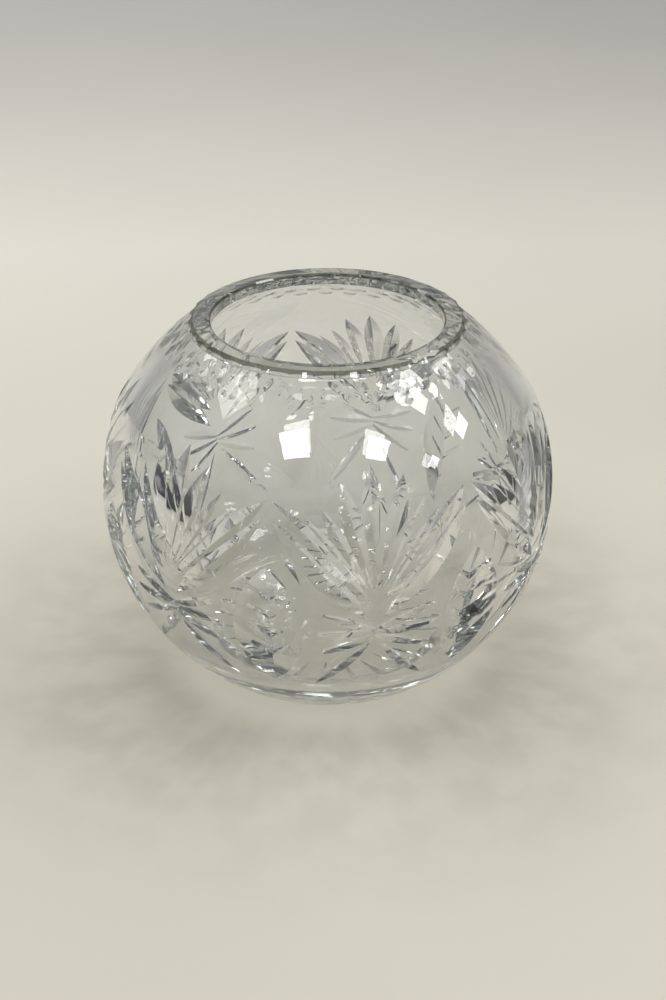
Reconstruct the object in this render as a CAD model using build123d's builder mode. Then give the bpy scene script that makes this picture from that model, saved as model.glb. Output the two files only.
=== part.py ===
from build123d import *

import os
from math import cos, radians, sin, sqrt, tan

# A cut-crystal rose bowl: one thick globe of clear glass with a ground rim, a hollow-cut neck and a frieze.
#
# The globe is blown in one piece, so the whole object is one solid. The blank is a solid of revolution and
# every ornament is a cut that a wheel really makes in it: V-shaped mitres for the leaves, flatter ones for
# the stars and the veins, a wide V for each broad leaf, round hollows on the neck. The bowl stands on Z = 0,
# and the front of the frieze faces -Y. Lengths are in millimetres and angles in degrees; a share is of the
# globe's radius, and a level is a height above the globe's widest circle.

# The globe, ground flat at the rim and at the base, with a bevel round the rim's outer edge
body_diameter = 200
rim_diameter = 119
mouth_diameter = 99.6
rim_level_share = 0.79
base_level_share = 0.84
lip_height = 2.7
rim_bevel_width = 2.4
rim_bevel_height = 1.1
bore_length = 5
body_wall = 9
floor_thickness = 14
mouth_arris = 0.8
base_arris = 0.9

# Above this elevation the globe is drawn in, along a flatter arc, towards the lip
shoulder_elevation = 24
neck_bulge_share = 0.021
shoulder_blend_share = 0.55
cavity_blend_share = 0.45
floor_blend_share = 0.36

# The wheels: included angles of the V-shaped ones, and how far each cutter stands past its cut
mitre_angle = 106
ray_angle = 125
broad_angle = 150
spare_length_share = 1.3
spare_reach = 1.5

# Two staggered rows of round hollows on the neck
hollows = 35
hollow_elevations = (49, 45.8)
hollow_wheel_radius = 28
hollow_depth = 0.4

# The star on the underside, whose rays run out through the edge of the base
star_rays = 28
star_core_radius = 34
star_depth = 4

# One motif of the frieze: cuts between two (azimuth, elevation) seen from the globe's centre.
# A straight cut that joins two points of a round surface comes out as a pointed leaf.
motifs = 7
first_motif_azimuth = 11.2
half_repeat = 180 / motifs
fan_pairs = [
    [(1, 2), (8.5, 28)],
    [(2, 2), (13.5, 22.5)],
    [(2.5, 2), (17, 19.5)],
]
arch_pairs = [
    [(2, -1), (25, 22.5)],
    [(2, -6), (24.5, 18)],
]
down_pairs = [
    [(1, -13.5), (15, -30)],
]
middle_cuts = [
    [(0, 2), (0, 31)],
]
ray_tip_depth = 0.8
ray_pairs = [
    [(1.5, -9, ray_tip_depth), (11, -5.5, ray_tip_depth)],
    [(1.7, -10.5, ray_tip_depth), (12, -10.5, ray_tip_depth)],
    [(1.5, -12, ray_tip_depth), (11, -16, ray_tip_depth)],
]

# The broad leaf between two motifs, and the veins cut along its rib
broad_top = 7
broad_foot = -29
vein_roots = (-2, -8, -14, -20)
vein_reach = 4.2
vein_climb = 3.5
vein_root_depth = 0.6

# Sizes that follow
body_radius = body_diameter / 2
rim_radius = rim_diameter / 2
mouth_radius = mouth_diameter / 2
cavity_radius = body_radius - body_wall
equator_height = body_radius * base_level_share
rim_level = body_radius * rim_level_share
height = equator_height + rim_level
base_radius = sqrt(body_radius**2 - equator_height**2)
floor_level = floor_thickness - equator_height
floor_radius = sqrt(cavity_radius**2 - floor_level**2)
neck_bulge = body_radius * neck_bulge_share
broad_middle = (broad_top + broad_foot) / 2
broad_reach = body_radius * cos(radians((broad_top - broad_foot) / 2))


def profile_point(radius, elevation):
    """The point of a globe's outline at this elevation, as (radius, level)."""
    return Vector(radius * cos(radians(elevation)), radius * sin(radians(elevation)))


def bulged(start, end):
    """The middle of the neck's arc between two points of the outline, and its way outwards."""
    chord = end - start
    outward = Vector(chord.Y, -chord.X).normalized()
    return (start + end) / 2 + outward * neck_bulge, outward


shoulder_point = profile_point(body_radius, shoulder_elevation)
lip_foot = Vector(rim_radius, rim_level - lip_height)
neck_middle, neck_outward = bulged(shoulder_point, lip_foot)
neck_half_chord = (lip_foot - shoulder_point).length / 2
neck_radius = (neck_half_chord**2 + neck_bulge**2) / (2 * neck_bulge)
neck_centre = neck_middle - neck_outward * neck_radius
cavity_shoulder = profile_point(cavity_radius, shoulder_elevation)
bore_foot = Vector(mouth_radius, rim_level - bore_length)
cavity_neck_middle = bulged(cavity_shoulder, bore_foot)[0]


def skin_point(elevation):
    """The point of the outline, as (radius, level), that the globe's centre sees at this elevation."""
    sight = profile_point(1, elevation)
    if elevation < shoulder_elevation:
        return sight * body_radius
    along = sight.dot(neck_centre)
    return sight * (along + sqrt(along**2 - neck_centre.dot(neck_centre) + neck_radius**2))


def turned(point, azimuth):
    """A point of the outline carried round to this azimuth, 0 to the front."""
    turn = radians(azimuth)
    return Vector(
        point.X * sin(turn), -point.X * cos(turn), equator_height + point.Y
    )


def body_point(azimuth, elevation, depth=0):
    """The point this deep in the globe's skin."""
    return turned(skin_point(elevation) - profile_point(depth, elevation), azimuth)


def broad_depth(aside, elevation):
    """How deep a broad leaf's floor lies this many degrees beside its rib."""
    rib = body_radius - broad_reach / cos(radians(elevation - broad_middle))
    lift = body_radius * sin(radians(aside)) / tan(radians(broad_angle / 2))
    return rib - lift + body_radius * (1 - cos(radians(aside)))


def cut_place(start, end):
    """Where a straight cut lies: along the line between two points, opening away from the centre."""
    along = (end - start).normalized()
    outward = (start + end) / 2 - Vector(0, 0, equator_height)
    outward = outward - along * outward.dot(along)
    return Location(Plane(origin=(start + end) / 2, x_dir=along, z_dir=outward))


def v_bar(length, reach, included_angle):
    """A bar of V section along X, with its sharp edge on the axis and opening towards +Z."""
    half_width = reach * tan(radians(included_angle / 2))
    with BuildPart() as bar:
        with BuildSketch(Plane.YZ):
            with BuildLine():
                Polyline(
                    (0, 0), (half_width, reach), (-half_width, reach), close=True
                )
            make_face()
        extrude(amount=length / 2, both=True)
    return bar.part


def v_cutter(start, end, included_angle):
    """A bar just long and tall enough for the cut between two points of the globe."""
    length = (end - start).length * spare_length_share
    sagitta = length**2 / body_diameter / 4
    bar = v_bar(length, sagitta + spare_reach, included_angle)
    return bar.moved(cut_place(start, end))


def both_sides(pairs):
    """These cuts of a motif together with their mirror images across its middle."""
    return pairs + [[(-end[0], *end[1:]) for end in pair] for pair in pairs]


def vein_pairs():
    """The short cuts on both flanks of a broad leaf, deepest at the rib."""
    pairs = []
    for root in vein_roots:
        tip = root + vein_climb
        start = (half_repeat, root, broad_depth(0, root) + vein_root_depth)
        for side in (-1, 1):
            azimuth = half_repeat + side * vein_reach
            pairs.append([start, (azimuth, tip, broad_depth(vein_reach, tip))])
    return pairs


def cutters_round(pairs, included_angle):
    """One cutter for each of these cuts in every motif of the frieze."""
    cutters = []
    for motif in range(motifs):
        turn = first_motif_azimuth + motif * 2 * half_repeat
        for start, end in pairs:
            first = body_point(turn + start[0], *start[1:])
            last = body_point(turn + end[0], *end[1:])
            cutters.append(v_cutter(first, last, included_angle))
    return cutters


def hollow_cutters():
    """One ball for each hollow of the neck's two rows, the lower row half a step round."""
    with BuildPart() as ball:
        Sphere(hollow_wheel_radius)
    cutters = []
    for row, elevation in enumerate(hollow_elevations):
        skin = skin_point(elevation)
        outward = (skin - neck_centre).normalized()
        centre = skin + outward * (hollow_wheel_radius - hollow_depth)
        for number in range(hollows):
            azimuth = first_motif_azimuth + (number + row / 2) * 360 / hollows
            cutters.append(ball.part.moved(Location(turned(centre, azimuth))))
    return cutters


def star_cutters():
    """One cutter for each ray of the star, running out through the edge of the base."""
    ray_length = base_radius * spare_length_share - star_core_radius
    ray = v_bar(ray_length, star_depth * 2, ray_angle)
    cutters = []
    for number in range(star_rays):
        azimuth = radians(first_motif_azimuth + number * 360 / star_rays)
        along = Vector(sin(azimuth), -cos(azimuth), 0)
        first = along * star_core_radius
        last = first + along * ray_length + Vector(0, 0, star_depth)
        cutters.append(ray.moved(cut_place(first, last)))
    return cutters


blank_plane = Plane.XZ.move(Location((0, equator_height, 0)))
leaf_cuts = middle_cuts + both_sides(fan_pairs + arch_pairs + down_pairs)
broad_cuts = [[(half_repeat, broad_top), (half_repeat, broad_foot)]]


def corner(sketch, point):
    """The corner of a sketch nearest to this point."""
    return sketch.vertices().sort_by_distance(point)[0]


with BuildPart() as bowl:
    # The blank: the outline runs from the base up, and back down inside
    with BuildSketch(blank_plane) as outline:
        with BuildLine():
            base = Line((0, -equator_height), (base_radius, -equator_height))
            globe = ThreePointArc(base @ 1, (body_radius, 0), shoulder_point)
            neck = ThreePointArc(globe @ 1, neck_middle, lip_foot)
            lip = Line(neck @ 1, (rim_radius, rim_level - rim_bevel_height))
            bevel = Line(lip @ 1, (rim_radius - rim_bevel_width, rim_level))
            rim = Line(bevel @ 1, (mouth_radius, rim_level))
            bore = Line(rim @ 1, bore_foot)
            cavity_neck = ThreePointArc(bore @ 1, cavity_neck_middle, cavity_shoulder)
            cavity = ThreePointArc(
                cavity_neck @ 1, (cavity_radius, 0), (floor_radius, floor_level)
            )
            floor = Line(cavity @ 1, (0, floor_level))
            Line(floor @ 1, base @ 0)
        make_face()
        fillet(corner(outline, globe @ 1), body_radius * shoulder_blend_share)
        fillet(corner(outline, cavity_neck @ 1), body_radius * cavity_blend_share)
        fillet(corner(outline, cavity @ 1), body_radius * floor_blend_share)
        chamfer(corner(outline, rim @ 1), mouth_arris)
        chamfer(corner(outline, base @ 1), base_arris)
    revolve(axis=Axis.Z)

    # The neck's hollows
    add(hollow_cutters(), mode=Mode.SUBTRACT)

    # The frieze and the underside
    add(
        cutters_round(broad_cuts, broad_angle)
        + cutters_round(leaf_cuts, mitre_angle)
        + cutters_round(both_sides(ray_pairs), ray_angle)
        + cutters_round(vein_pairs(), ray_angle)
        + star_cutters(),
        mode=Mode.SUBTRACT,
    )

bowl.part.label = "bowl"
os.makedirs("parts", exist_ok=True)
export_step(bowl.part, "parts/bowl.step")
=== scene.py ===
# %% [markdown]
# # A cut-crystal rose bowl
#
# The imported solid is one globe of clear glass. This script dresses it: a copy of its mesh with the
# turned surfaces shaded smooth and every wheel cut left crisp, a clear crystal material, and a pale
# sweep to stand on. Lengths are in metres and angles in degrees.

# %%
import math

import bmesh
import bpy
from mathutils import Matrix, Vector


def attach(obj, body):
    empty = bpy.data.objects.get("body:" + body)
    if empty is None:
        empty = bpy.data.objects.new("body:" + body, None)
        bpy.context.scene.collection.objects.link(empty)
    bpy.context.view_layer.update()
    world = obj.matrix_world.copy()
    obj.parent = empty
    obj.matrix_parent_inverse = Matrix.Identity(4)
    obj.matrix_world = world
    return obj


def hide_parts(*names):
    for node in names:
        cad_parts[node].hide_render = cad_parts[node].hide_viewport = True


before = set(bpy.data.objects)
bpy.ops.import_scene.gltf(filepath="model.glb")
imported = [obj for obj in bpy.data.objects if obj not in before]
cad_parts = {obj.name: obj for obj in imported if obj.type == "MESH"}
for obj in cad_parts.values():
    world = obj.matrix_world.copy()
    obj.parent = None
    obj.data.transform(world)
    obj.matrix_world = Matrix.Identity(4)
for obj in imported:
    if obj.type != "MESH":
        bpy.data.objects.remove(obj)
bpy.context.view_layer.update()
scene = bpy.context.scene

# %% [markdown]
# ## The turned outline
#
# The blank's outline as circles in (radius, height): each is a centre, a radius and the side its
# glass lies on. They tell the turned surfaces from the cuts and give their exact direction.

# %%
EQUATOR = 0.084
RIM_LEVEL = 0.163
CENTRE = Vector((0, EQUATOR))
GLOBE, CAVITY = 0.1, 0.091
SHOULDER_ELEVATION = 24
NECK_BULGE = 0.0021
LIP_FOOT, BORE_FOOT = Vector((0.0595, 0.1603)), Vector((0.0498, 0.158))
NECK_BLEND, CAVITY_BLEND, FLOOR_BLEND = 0.055, 0.045, 0.036
FLOOR_BLEND_LEVEL = 0.05

# A corner this near a circle lies on it, but not this near the axis, nor if its face turns away
ON_CIRCLE = 1.2e-4
NEAR_AXIS = 1e-3
FACE_TURN = 7


def outline_point(reach):
    """The point where the shoulder begins on the globe or the cavity of this radius."""
    turn = math.radians(SHOULDER_ELEVATION)
    return CENTRE + reach * Vector((math.cos(turn), math.sin(turn)))


def bulged_arc(start, end):
    """Centre and radius of the arc between two points that bulges out from its chord."""
    chord = end - start
    outward = Vector((chord.y, -chord.x)).normalized()
    radius = (chord.length_squared / 4 + NECK_BULGE**2) / (2 * NECK_BULGE)
    return (start + end) / 2 + outward * (NECK_BULGE - radius), radius


def blend_arc(centre_a, reach_a, centre_b, reach_b, radius):
    """Centre of the small circle that touches two larger ones from inside, on the outer side."""
    a, b = reach_a - radius, reach_b - radius
    line = centre_b - centre_a
    along = (a**2 - b**2 + line.length_squared) / (2 * line.length)
    aside = math.sqrt(max(a**2 - along**2, 0))
    way = line.normalized()
    across = Vector((-way.y, way.x))
    ends = [centre_a + way * along + across * aside * side for side in (-1, 1)]
    return max(ends, key=lambda end: end.x)


neck, neck_reach = bulged_arc(outline_point(GLOBE), LIP_FOOT)
bore, bore_reach = bulged_arc(outline_point(CAVITY), BORE_FOOT)
floor_reach = math.sqrt((CAVITY - FLOOR_BLEND) ** 2 - (EQUATOR - FLOOR_BLEND_LEVEL) ** 2)
OUTLINE = [
    (CENTRE, GLOBE, 1),
    (neck, neck_reach, 1),
    (blend_arc(CENTRE, GLOBE, neck, neck_reach, NECK_BLEND), NECK_BLEND, 1),
    (CENTRE, CAVITY, -1),
    (bore, bore_reach, -1),
    (blend_arc(CENTRE, CAVITY, bore, bore_reach, CAVITY_BLEND), CAVITY_BLEND, -1),
    (Vector((floor_reach, FLOOR_BLEND_LEVEL)), FLOOR_BLEND, -1),
]


def turned_directions(face_normal, points):
    """The exact directions at these corners of a face on a turned surface, or None."""
    for centre, radius, side in OUTLINE:
        found = []
        for point in points:
            across = math.hypot(point.x, point.y)
            arm = Vector((across, point.z)) - centre
            if abs(arm.length - radius) > ON_CIRCLE or across < NEAR_AXIS:
                break
            arm = arm.normalized() * side
            turned = (arm.x * point.x / across, arm.x * point.y / across, arm.y)
            found.append(Vector(turned))
        least = math.cos(math.radians(FACE_TURN))
        facing = all(direction.dot(face_normal) > least for direction in found)
        if facing and len(found) == len(points):
            return found
    return None


# %% [markdown]
# ## Shader arithmetic
#
# `Socket` wraps a node output, so that node maths reads as plain arithmetic.


# %%
class Socket:
    """A shader node's output that can be used in arithmetic."""

    def __init__(self, tree, out):
        self.tree, self.out = tree, out

    def node(self, kind, *inputs, output=0, **settings):
        """Adds a node fed by these inputs and returns one of its outputs."""
        made = self.tree.nodes.new(kind)
        for name, value in settings.items():
            setattr(made, name, value)
        for slot, value in enumerate(inputs):
            if value is None:
                continue
            if isinstance(value, Socket):
                self.tree.links.new(value.out, made.inputs[slot])
            else:
                made.inputs[slot].default_value = value
        return Socket(self.tree, made.outputs[output])

    def math(self, operation, *others):
        return self.node("ShaderNodeMath", self, *others, operation=operation)

    def __add__(self, other):
        return self.math("ADD", other)

    def __sub__(self, other):
        return self.math("SUBTRACT", other)

    def __mul__(self, other):
        return self.math("MULTIPLY", other)

    __radd__ = __add__

    def __rsub__(self, other):
        return self.node("ShaderNodeMath", other, self, operation="SUBTRACT")

    def ramp(self, low, high):
        """0 below low, 1 above high, smooth between."""
        return self.node(
            "ShaderNodeMapRange", self, low, high, 0.0, 1.0, interpolation_type="SMOOTHSTEP"
        )

    def band(self, rise, fall):
        """1 between these two ramps, 0 outside."""
        return self.ramp(*rise) * (1 - self.ramp(*fall))

    def split(self):
        """The three parts of a vector."""
        parts = self.node("ShaderNodeSeparateXYZ", self)
        return [Socket(self.tree, out) for out in parts.out.node.outputs]

    def noise(self, scale, detail, roughness):
        """Soft noise at this point."""
        return self.node("ShaderNodeTexNoise", self, None, scale, detail, roughness)


def hypotenuse(a, b):
    """The length of the vector with these two parts."""
    return (a * a + b * b).math("SQRT")


def material(name):
    """A new material, its Principled shader and a Socket with the point in object space."""
    made = bpy.data.materials.new(name)
    made.use_nodes = True
    shader = made.node_tree.nodes["Principled BSDF"]
    place = made.node_tree.nodes.new("ShaderNodeTexCoord").outputs["Object"]
    return made, shader, Socket(made.node_tree, place)


def feed(node, name, value):
    """Links a Socket to the node's input of this name."""
    value.tree.links.new(value.out, node.inputs[name])


# %% [markdown]
# ## The crystal
#
# Clear lead glass that darkens with the length of glass looked through, so that a facet which sends
# the light round inside the wall goes grey. The bevel round the rim and the arris of the mouth carry
# painted shade: the glass there is tinted darker to stand in for the dark band that refraction shows
# along them.

# %%
CLEAR = (0.912, 0.919, 0.927, 1)
# Painted shade: the dark tint for the rim's bevel and the mouth's arris
PAINTED_RIM_SHADE = (0.10, 0.11, 0.08, 1)
LAMP_DIMMING = (0.92, 0.925, 0.92, 1)
DEPTH_TINT = (0.41, 0.44, 0.43, 1)
DEPTH_DENSITY = 5.8
REFRACTION = 1.54
BEVEL = (0.0570, 0.0572), (0.0597, 0.0600)
ARRIS = (0.0504, 0.0506)
PAINTED_SHADE_LEVELS = (RIM_LEVEL - 0.0014, RIM_LEVEL - 0.0011)

crystal, glass, at = material("crystal")
across, depth, level = at.split()
from_axis = hypotenuse(across, depth)
# Where the painted shade goes: the bevel and the arris at the top of the rim
painted_rim_shade_mask = (from_axis.band(*BEVEL) + (1 - from_axis.ramp(*ARRIS))) * level.ramp(*PAINTED_SHADE_LEVELS)

# The Mix node's colours are its seventh and eighth inputs, after those for the other kinds
mixed = (painted_rim_shade_mask, *[None] * 5, CLEAR, PAINTED_RIM_SHADE)
feed(glass, "Base Color", at.node("ShaderNodeMix", *mixed, output=2, data_type="RGBA"))
glass.inputs["Roughness"].default_value = 0.0
glass.inputs["IOR"].default_value = REFRACTION
glass.inputs["Transmission Weight"].default_value = 1.0

# Lamps reach the floor through the glass, a little dimmed at each surface
surface = crystal.node_tree.nodes["Material Output"]
see_through = at.node("ShaderNodeBsdfTransparent", LAMP_DIMMING)
lamp_ray = at.node("ShaderNodeLightPath", output="Is Shadow Ray")
body_glass = Socket(at.tree, glass.outputs[0])
feed(surface, "Surface", at.node("ShaderNodeMixShader", lamp_ray, body_glass, see_through))
feed(surface, "Volume", at.node("ShaderNodeVolumeAbsorption", DEPTH_TINT, DEPTH_DENSITY))

# %% [markdown]
# ## The bowl
#
# The CAD mesh is copied and its doubled corners are joined. Corners on the turned surfaces take the
# outline's own direction, so that the globe refracts like a true curve, and the flat sides of each
# cut stay flat.

# %%
DOUBLED = 1e-6
CRISP_ANGLE = 14


def bowl_piece():
    """A copy of the CAD mesh, shaded as the turned and cut glass really curves."""
    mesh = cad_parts["bowl"].data.copy()
    mesh.name = "cut_bowl"
    work = bmesh.new()
    work.from_mesh(mesh)
    bmesh.ops.remove_doubles(work, verts=work.verts, dist=DOUBLED)
    work.to_mesh(mesh)
    work.free()
    if "custom_normal" in mesh.attributes:
        mesh.attributes.remove(mesh.attributes["custom_normal"])
    mesh.shade_smooth()
    mesh.set_sharp_from_angle(angle=math.radians(CRISP_ANGLE))
    directions = [corner.vector.copy() for corner in mesh.corner_normals]
    exact = 0
    for face in mesh.polygons:
        points = [mesh.vertices[number].co for number in face.vertices]
        found = turned_directions(face.normal, points)
        if found:
            exact += 1
            for loop, direction in zip(face.loop_indices, found):
                directions[loop] = direction
    mesh.normals_split_custom_set(directions)
    print("bowl", len(mesh.polygons), "faces,", exact, "on turned surfaces")
    made = bpy.data.objects.new("cut_bowl", mesh)
    scene.collection.objects.link(made)
    mesh.materials.clear()
    mesh.materials.append(crystal)
    return made


bowl = bowl_piece()
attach(bowl, "root")
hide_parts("bowl")

# %% [markdown]
# ## Floor and backdrop
#
# One pale sweep of paper. Its colour carries painted light and shade: the dim mottled shade that cut
# glass throws round its foot, a pool of light under the foot, and lighter and darker reaches along
# and across the paper.

# %%
# Painted light and shade along the sweep, as colours from in front of the bowl (0) to far behind it
# (1)
PAINTED_SWEEP_LIGHT = [
    (0.00, (0.570, 0.545, 0.475)),
    (0.22, (0.570, 0.545, 0.472)),
    (0.32, (0.630, 0.610, 0.540)),
    (0.52, (0.690, 0.675, 0.615)),
    (0.75, (0.560, 0.550, 0.515)),
    (1.00, (0.460, 0.455, 0.440)),
]
SHADED_FROM, SHADED_TO = -0.4, 1.4

# The paper's gain, and how much the pool of light under the foot adds to it
PAPER_GAIN, POOL_GAIN = 1.035, 0.60
POOL_EDGE = (0.045, 0.085)

# How much the patches round the foot, its flanks and the drift over the whole paper take away
PATCH_DIMMING, FLANK_DIMMING, DRIFT_DIMMING = 0.09, 0.10, 0.02
PATCHES_ROUND, PATCHES_OUT = 4.0, 26.0
PATCH_NOISE, PATCH_CONTRAST = (1.6, 2.0, 0.5), (0.34, 0.66)
DRIFT_NOISE, DRIFT_CONTRAST = (5.0, 1.5, 0.5), (0.3, 0.7)
ROUND_FOOT = (0.05, 0.09), (0.10, 0.21)
FLANKS = (0.1, 0.6), (1.1, 1.7)

# Painted shade: the paper is dimmer to the left in front of the bowl and to the right behind it
LEFT_DIMMING, RIGHT_DIMMING = 0.08, 0.22
LEFT_TO_RIGHT, FRONT_TO_BACK = (-0.5, 0.6), (-0.05, 0.3)

sweep_paper, paper, at = material("sweep_paper")
paper.inputs["Roughness"].default_value = 0.9
paper.inputs["Specular IOR Level"].default_value = 0.1

across, depth, _ = at.split()
along = at.node("ShaderNodeMapRange", depth, SHADED_FROM, SHADED_TO, 0.0, 1.0)
# The painted light and shade along the sweep, as a colour ramp
shade = at.node("ShaderNodeValToRGB", along)
stops = shade.out.node.color_ramp
while len(stops.elements) < len(PAINTED_SWEEP_LIGHT):
    stops.elements.new(1.0)
for stop, (where, colour) in zip(stops.elements, PAINTED_SWEEP_LIGHT):
    stop.position, stop.color = where, (*colour, 1)

reach = hypotenuse(across, depth)
around = across.math("ARCTAN2", depth * -1.0)
polar = at.node("ShaderNodeCombineXYZ", around * PATCHES_ROUND, reach * PATCHES_OUT, 0.0)
patches = (1 - polar.noise(*PATCH_NOISE).ramp(*PATCH_CONTRAST)) * PATCH_DIMMING
flanks = around.math("ABSOLUTE").band(*FLANKS) * FLANK_DIMMING
foot_shade = reach.band(*ROUND_FOOT) * (patches + flanks)
drift = (1 - at.noise(*DRIFT_NOISE).ramp(*DRIFT_CONTRAST)) * DRIFT_DIMMING
right = across.ramp(*LEFT_TO_RIGHT)
back = depth.ramp(*FRONT_TO_BACK)
# Painted shade, to the left in front of the bowl and to the right behind it
painted_side_shade = (1 - back) * (1 - right) * LEFT_DIMMING + back * right * RIGHT_DIMMING
pool = (1 - reach.ramp(*POOL_EDGE)) * POOL_GAIN
gain = PAPER_GAIN + pool - foot_shade - drift - painted_side_shade
tinted = at.node("ShaderNodeVectorMath", shade, operation="SCALE")
feed(tinted.out.node, "Scale", gain)
feed(paper, "Base Color", tinted)

# %%
SWEEP_REACH = 4.0
WALL_START, WALL_TOP = 1.2, 4.0
BEND_RADIUS, BEND_STEPS = 0.9, 12
PAPER_DROP = 0.0002


def sweep():
    """A floor that curves up into a wall behind the bowl."""
    mesh = bpy.data.meshes.new("sweep")
    outline = [(-SWEEP_REACH, 0.0), (WALL_START, 0.0)]
    for step in range(1, BEND_STEPS + 1):
        turn = math.radians(90 * step / BEND_STEPS)
        depth, rise = BEND_RADIUS * math.sin(turn), BEND_RADIUS * (1 - math.cos(turn))
        outline.append((WALL_START + depth, rise))
    outline.append((WALL_START + BEND_RADIUS, WALL_TOP))
    points = [(x, y, z - PAPER_DROP) for y, z in outline for x in (-SWEEP_REACH, SWEEP_REACH)]
    faces = [(2 * i, 2 * i + 1, 2 * i + 3, 2 * i + 2) for i in range(len(outline) - 1)]
    mesh.from_pydata(points, [], faces)
    mesh.shade_smooth()
    mesh.materials.append(sweep_paper)
    made = bpy.data.objects.new("sweep", mesh)
    scene.collection.objects.link(made)


sweep()

# %% [markdown]
# ## Light
#
# Three rows of square ceiling panels. The rows in front of the bowl and above it hang where their
# reflections in the globe put them. The room is a cool grey, darker towards the horizon. What only
# the glass sees of it has soft patches and dark sides.

# %%
PANEL_LEVEL = 1.88
PANEL_COLOUR = (1.0, 0.985, 0.94)

# Each panel as (x, y, side, watts)
PANELS = [
    (-0.58, -1.30, 0.50, 14.0),
    (0.92, -1.33, 0.42, 8.0),
    (2.42, -1.20, 0.30, 4.0),
    (-1.60, -0.10, 0.60, 5.0),
    (-0.10, -0.10, 0.60, 5.0),
    (1.40, -0.10, 0.60, 12.0),
    (2.90, 0.05, 0.50, 10.0),
    (-2.00, 1.27, 0.60, 6.0),
    (-0.50, 1.27, 0.60, 6.0),
    (1.00, 1.27, 0.60, 6.0),
    (2.50, 1.27, 0.60, 6.0),
]
for number, (x, y, side, watts) in enumerate(PANELS):
    lamp = bpy.data.lights.new(f"panel_{number}", "AREA")
    lamp.shape = "SQUARE"
    lamp.size, lamp.energy = side, watts
    lamp.color = PANEL_COLOUR
    hung = bpy.data.objects.new(f"panel_{number}", lamp)
    hung.location = (x, y, PANEL_LEVEL)
    hung.visible_camera = False
    scene.collection.objects.link(hung)

# The room's colour, its strength at the horizon and what it gains above, by the direction's height
ROOM_COLOUR = (0.96, 0.985, 1.0, 1)
HORIZON_STRENGTH, STRENGTH_GAIN = 0.30, 0.30
BRIGHTER_ABOVE = (-0.1, 0.5)
PLAIN_SHARE, PATCH_SHARE = 0.7, 0.3
ROOM_NOISE, ROOM_CONTRAST = (3.0, 1.0, 0.4), (0.42, 0.56)
SIDES, SIDES_END_ABOVE = (0.60, 0.85), (0.15, 0.50)
SIDES_DIMMING = 0.85

world = bpy.data.worlds.new("room")
scene.world = world
world.use_nodes = True
tree = world.node_tree
sight = Socket(tree, tree.nodes.new("ShaderNodeTexCoord").outputs["Generated"])
aside, _, height = sight.split()
sides = aside.math("ABSOLUTE").ramp(*SIDES) * (1 - height.ramp(*SIDES_END_ABOVE))
patches = sight.noise(*ROOM_NOISE).ramp(*ROOM_CONTRAST)
unseen = 1 - sight.node("ShaderNodeLightPath", output="Is Camera Ray")
room = height.ramp(*BRIGHTER_ABOVE) * STRENGTH_GAIN + HORIZON_STRENGTH
room = room * (patches * unseen * PATCH_SHARE + PLAIN_SHARE)
room = room * (1 - sides * unseen * SIDES_DIMMING)
background = tree.nodes["Background"]
background.inputs["Color"].default_value = ROOM_COLOUR
feed(background, "Strength", room)

# %% [markdown]
# ## Camera
#
# At the photograph's viewing angle, looking down on the globe's centre.

# %%
DISTANCE = 0.75
PITCH = math.radians(27.9)

# The focal length, and how far the picture's centre lies from the globe's, in the picture's pixels
FOCAL = 1675
PICTURE_HEIGHT = 1000
CENTRE_DROP, CENTRE_ASIDE = 20, 5.25
SENSOR = 36

lens = bpy.data.cameras.new("camera")
lens.sensor_width = SENSOR
lens.lens = FOCAL * SENSOR / PICTURE_HEIGHT
camera = bpy.data.objects.new("camera", lens)
camera.location = (0, -DISTANCE * math.cos(PITCH), EQUATOR + DISTANCE * math.sin(PITCH))
camera.rotation_euler = (
    math.pi / 2 - PITCH - math.atan(CENTRE_DROP / FOCAL),
    0,
    -math.atan(CENTRE_ASIDE / FOCAL) / math.cos(PITCH),
)
scene.collection.objects.link(camera)
scene.camera = camera

# %%
scene.view_settings.view_transform = "Standard"

# Light crosses many facets inside cut glass before it comes out
FACETS_CROSSED, REFLECTIONS = 40, 32
scene.cycles.max_bounces = FACETS_CROSSED
scene.cycles.transmission_bounces = FACETS_CROSSED
scene.cycles.glossy_bounces = REFLECTIONS
scene.cycles.caustics_refractive = False
scene.cycles.caustics_reflective = False
